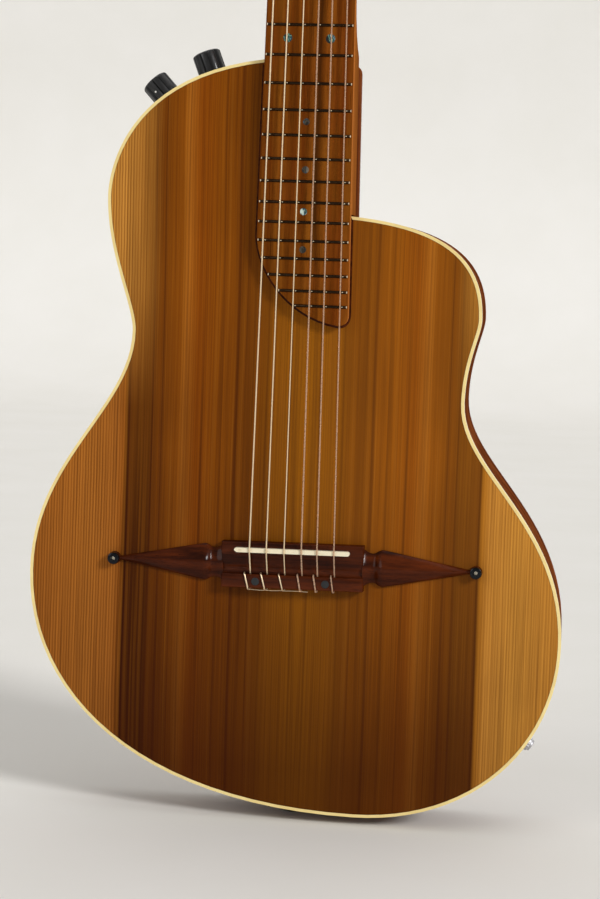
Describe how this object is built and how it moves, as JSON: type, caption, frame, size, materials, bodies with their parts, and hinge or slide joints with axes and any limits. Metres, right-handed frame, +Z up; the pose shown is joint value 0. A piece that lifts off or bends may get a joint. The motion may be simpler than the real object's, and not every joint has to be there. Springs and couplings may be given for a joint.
{
  "type": "acoustic-electric nylon-string guitar",
  "caption": "Single-cutaway nylon-string guitar with no soundhole, a winged tie bridge, a bolted neck with a carved board end, rim knobs and an end jack.",
  "frame": {"origin": "on the centreline, at mid-depth of the body, at the height of the body's lowest point", "axes": "+Z up along the neck, +X to the treble side, -Y out of the soundboard"},
  "size_m": [0.3592, 0.0783, 1.0117],
  "materials": {
    "top_plate": "gloss lacquer over book-matched softwood",
    "back_plate": "satin lacquer",
    "side_bass": "satin lacquer",
    "side_treble": "satin lacquer",
    "top_binding": "grained cream, polished",
    "top_lining": "raw",
    "back_lining": "raw",
    "neck_block": "raw",
    "end_block": "raw",
    "top_brace": "raw",
    "back_brace": "raw",
    "access_cover": "moulded",
    "cover_screw_1": "black",
    "cover_screw_2": "black",
    "bridge": "oiled dark wood",
    "saddle": "polished bone-like",
    "plug_bass": "polished",
    "plug_treble": "polished",
    "bridge_bolt_bass": "black oxide",
    "bridge_bolt_treble": "black oxide",
    "neck": "satin",
    "neck_bolt_1": "black oxide",
    "neck_bolt_2": "black oxide",
    "fingerboard": "oiled",
    "frets": "polished nickel silver",
    "nut": "polished bone-like",
    "headstock": "satin",
    "head_veneer": "satin",
    "tuner_plate_bass": "polished",
    "tuner_plate_treble": "polished",
    "output_jack": "polished",
    "strap_button": "black",
    "battery": "printed can, left plain",
    "preamp": "moulded",
    "roller_e": "polished",
    "tuner_e": "pearl-like button on a brass worm",
    "roller_a": "polished",
    "tuner_a": "pearl-like button on a brass worm",
    "roller_d": "polished",
    "tuner_d": "pearl-like button on a brass worm",
    "roller_g": "polished",
    "tuner_g": "pearl-like button on a brass worm",
    "roller_b": "polished",
    "tuner_b": "pearl-like button on a brass worm",
    "roller_e_high": "polished",
    "tuner_e_high": "pearl-like button on a brass worm",
    "string_e": "silver-plated winding",
    "string_a": "silver-plated winding",
    "string_d": "silver-plated winding",
    "string_g": "clear nylon",
    "string_b": "clear nylon",
    "string_e_high": "clear nylon",
    "knob_1": "moulded, fluted",
    "pot_1": "plated",
    "knob_2": "moulded, fluted",
    "pot_2": "plated"
  },
  "bodies": {
    "guitar": {"top_plate": "top_plate", "back_plate": "back_plate", "side_bass": "side_bass", "side_treble": "side_treble", "top_binding": "top_binding", "top_lining": "top_lining", "back_lining": "back_lining", "neck_block": "neck_block", "end_block": "end_block", "top_brace": "top_brace", "back_brace": "back_brace", "access_cover": "access_cover", "cover_screw_1": "cover_screw_1", "cover_screw_2": "cover_screw_2", "bridge": "bridge", "saddle": "saddle", "plug_bass": "plug_bass", "plug_treble": "plug_treble", "bridge_bolt_bass": "bridge_bolt_bass", "bridge_bolt_treble": "bridge_bolt_treble", "neck": "neck", "neck_bolt_1": "neck_bolt_1", "neck_bolt_2": "neck_bolt_2", "fingerboard": "fingerboard", "frets": "frets", "nut": "nut", "headstock": "headstock", "head_veneer": "head_veneer", "tuner_plate_bass": "tuner_plate_bass", "tuner_plate_treble": "tuner_plate_treble", "output_jack": "output_jack", "strap_button": "strap_button", "battery": "battery", "preamp": "preamp", "string_e": "string_e", "string_a": "string_a", "string_d": "string_d", "string_g": "string_g", "string_b": "string_b", "string_e_high": "string_e_high", "pot_1": "pot_1", "pot_2": "pot_2"},
    "roller_e": {"roller_e": "roller_e"},
    "roller_a": {"roller_a": "roller_a"},
    "roller_d": {"roller_d": "roller_d"},
    "roller_g": {"roller_g": "roller_g"},
    "roller_b": {"roller_b": "roller_b"},
    "roller_e_high": {"roller_e_high": "roller_e_high"},
    "tuner_e": {"tuner_e": "tuner_e"},
    "tuner_a": {"tuner_a": "tuner_a"},
    "tuner_d": {"tuner_d": "tuner_d"},
    "tuner_g": {"tuner_g": "tuner_g"},
    "tuner_b": {"tuner_b": "tuner_b"},
    "tuner_e_high": {"tuner_e_high": "tuner_e_high"},
    "knob_1": {"knob_1": "knob_1"},
    "knob_2": {"knob_2": "knob_2"}
  },
  "joints": [
    {"name": "worm_e", "type": "hinge", "parent": "guitar", "child": "tuner_e", "pos_m": [-0.0406, -0.01285, 0.89216], "axis": [0, 0.9703, -0.2419], "continuous": true},
    {"name": "worm_a", "type": "hinge", "parent": "guitar", "child": "tuner_a", "pos_m": [-0.0406, -0.00438, 0.92613], "axis": [0, 0.9703, -0.2419], "continuous": true},
    {"name": "worm_d", "type": "hinge", "parent": "guitar", "child": "tuner_d", "pos_m": [-0.0406, 0.00409, 0.96009], "axis": [0, 0.9703, -0.2419], "continuous": true},
    {"name": "worm_g", "type": "hinge", "parent": "guitar", "child": "tuner_g", "pos_m": [0.0406, 0.00409, 0.96009], "axis": [0, 0.9703, -0.2419], "continuous": true},
    {"name": "worm_b", "type": "hinge", "parent": "guitar", "child": "tuner_b", "pos_m": [0.0406, -0.00438, 0.92613], "axis": [0, 0.9703, -0.2419], "continuous": true},
    {"name": "worm_e_high", "type": "hinge", "parent": "guitar", "child": "tuner_e_high", "pos_m": [0.0406, -0.01285, 0.89216], "axis": [0, 0.9703, -0.2419], "continuous": true},
    {"name": "roller_turn_e", "type": "hinge", "parent": "guitar", "child": "roller_e", "pos_m": [0, -0.01474, 0.88455], "axis": [1, 0, 0], "continuous": true},
    {"name": "roller_turn_a", "type": "hinge", "parent": "guitar", "child": "roller_a", "pos_m": [0, -0.00628, 0.91851], "axis": [1, 0, 0], "continuous": true},
    {"name": "roller_turn_d", "type": "hinge", "parent": "guitar", "child": "roller_d", "pos_m": [0, 0.00219, 0.95247], "axis": [1, 0, 0], "continuous": true},
    {"name": "roller_turn_g", "type": "hinge", "parent": "guitar", "child": "roller_g", "pos_m": [0, 0.00219, 0.95247], "axis": [1, 0, 0], "continuous": true},
    {"name": "roller_turn_b", "type": "hinge", "parent": "guitar", "child": "roller_b", "pos_m": [0, -0.00628, 0.91851], "axis": [1, 0, 0], "continuous": true},
    {"name": "roller_turn_e_high", "type": "hinge", "parent": "guitar", "child": "roller_e_high", "pos_m": [0, -0.01474, 0.88455], "axis": [1, 0, 0], "continuous": true},
    {"name": "knob_1_turn", "type": "hinge", "parent": "guitar", "child": "knob_1", "pos_m": [-0.09805, 0, 0.47558], "axis": [-0.6769, 0, 0.7361], "range_deg": [-150, 150]},
    {"name": "knob_2_turn", "type": "hinge", "parent": "guitar", "child": "knob_2", "pos_m": [-0.06873, 0, 0.49136], "axis": [-0.3611, 0, 0.9325], "range_deg": [-150, 150]}
  ],
  "couplings": [
    {"joint": "roller_turn_e", "follows": "worm_e", "ratio": 0.083333},
    {"joint": "roller_turn_a", "follows": "worm_a", "ratio": 0.083333},
    {"joint": "roller_turn_d", "follows": "worm_d", "ratio": 0.083333},
    {"joint": "roller_turn_g", "follows": "worm_g", "ratio": 0.083333},
    {"joint": "roller_turn_b", "follows": "worm_b", "ratio": 0.083333},
    {"joint": "roller_turn_e_high", "follows": "worm_e_high", "ratio": 0.083333}
  ]
}
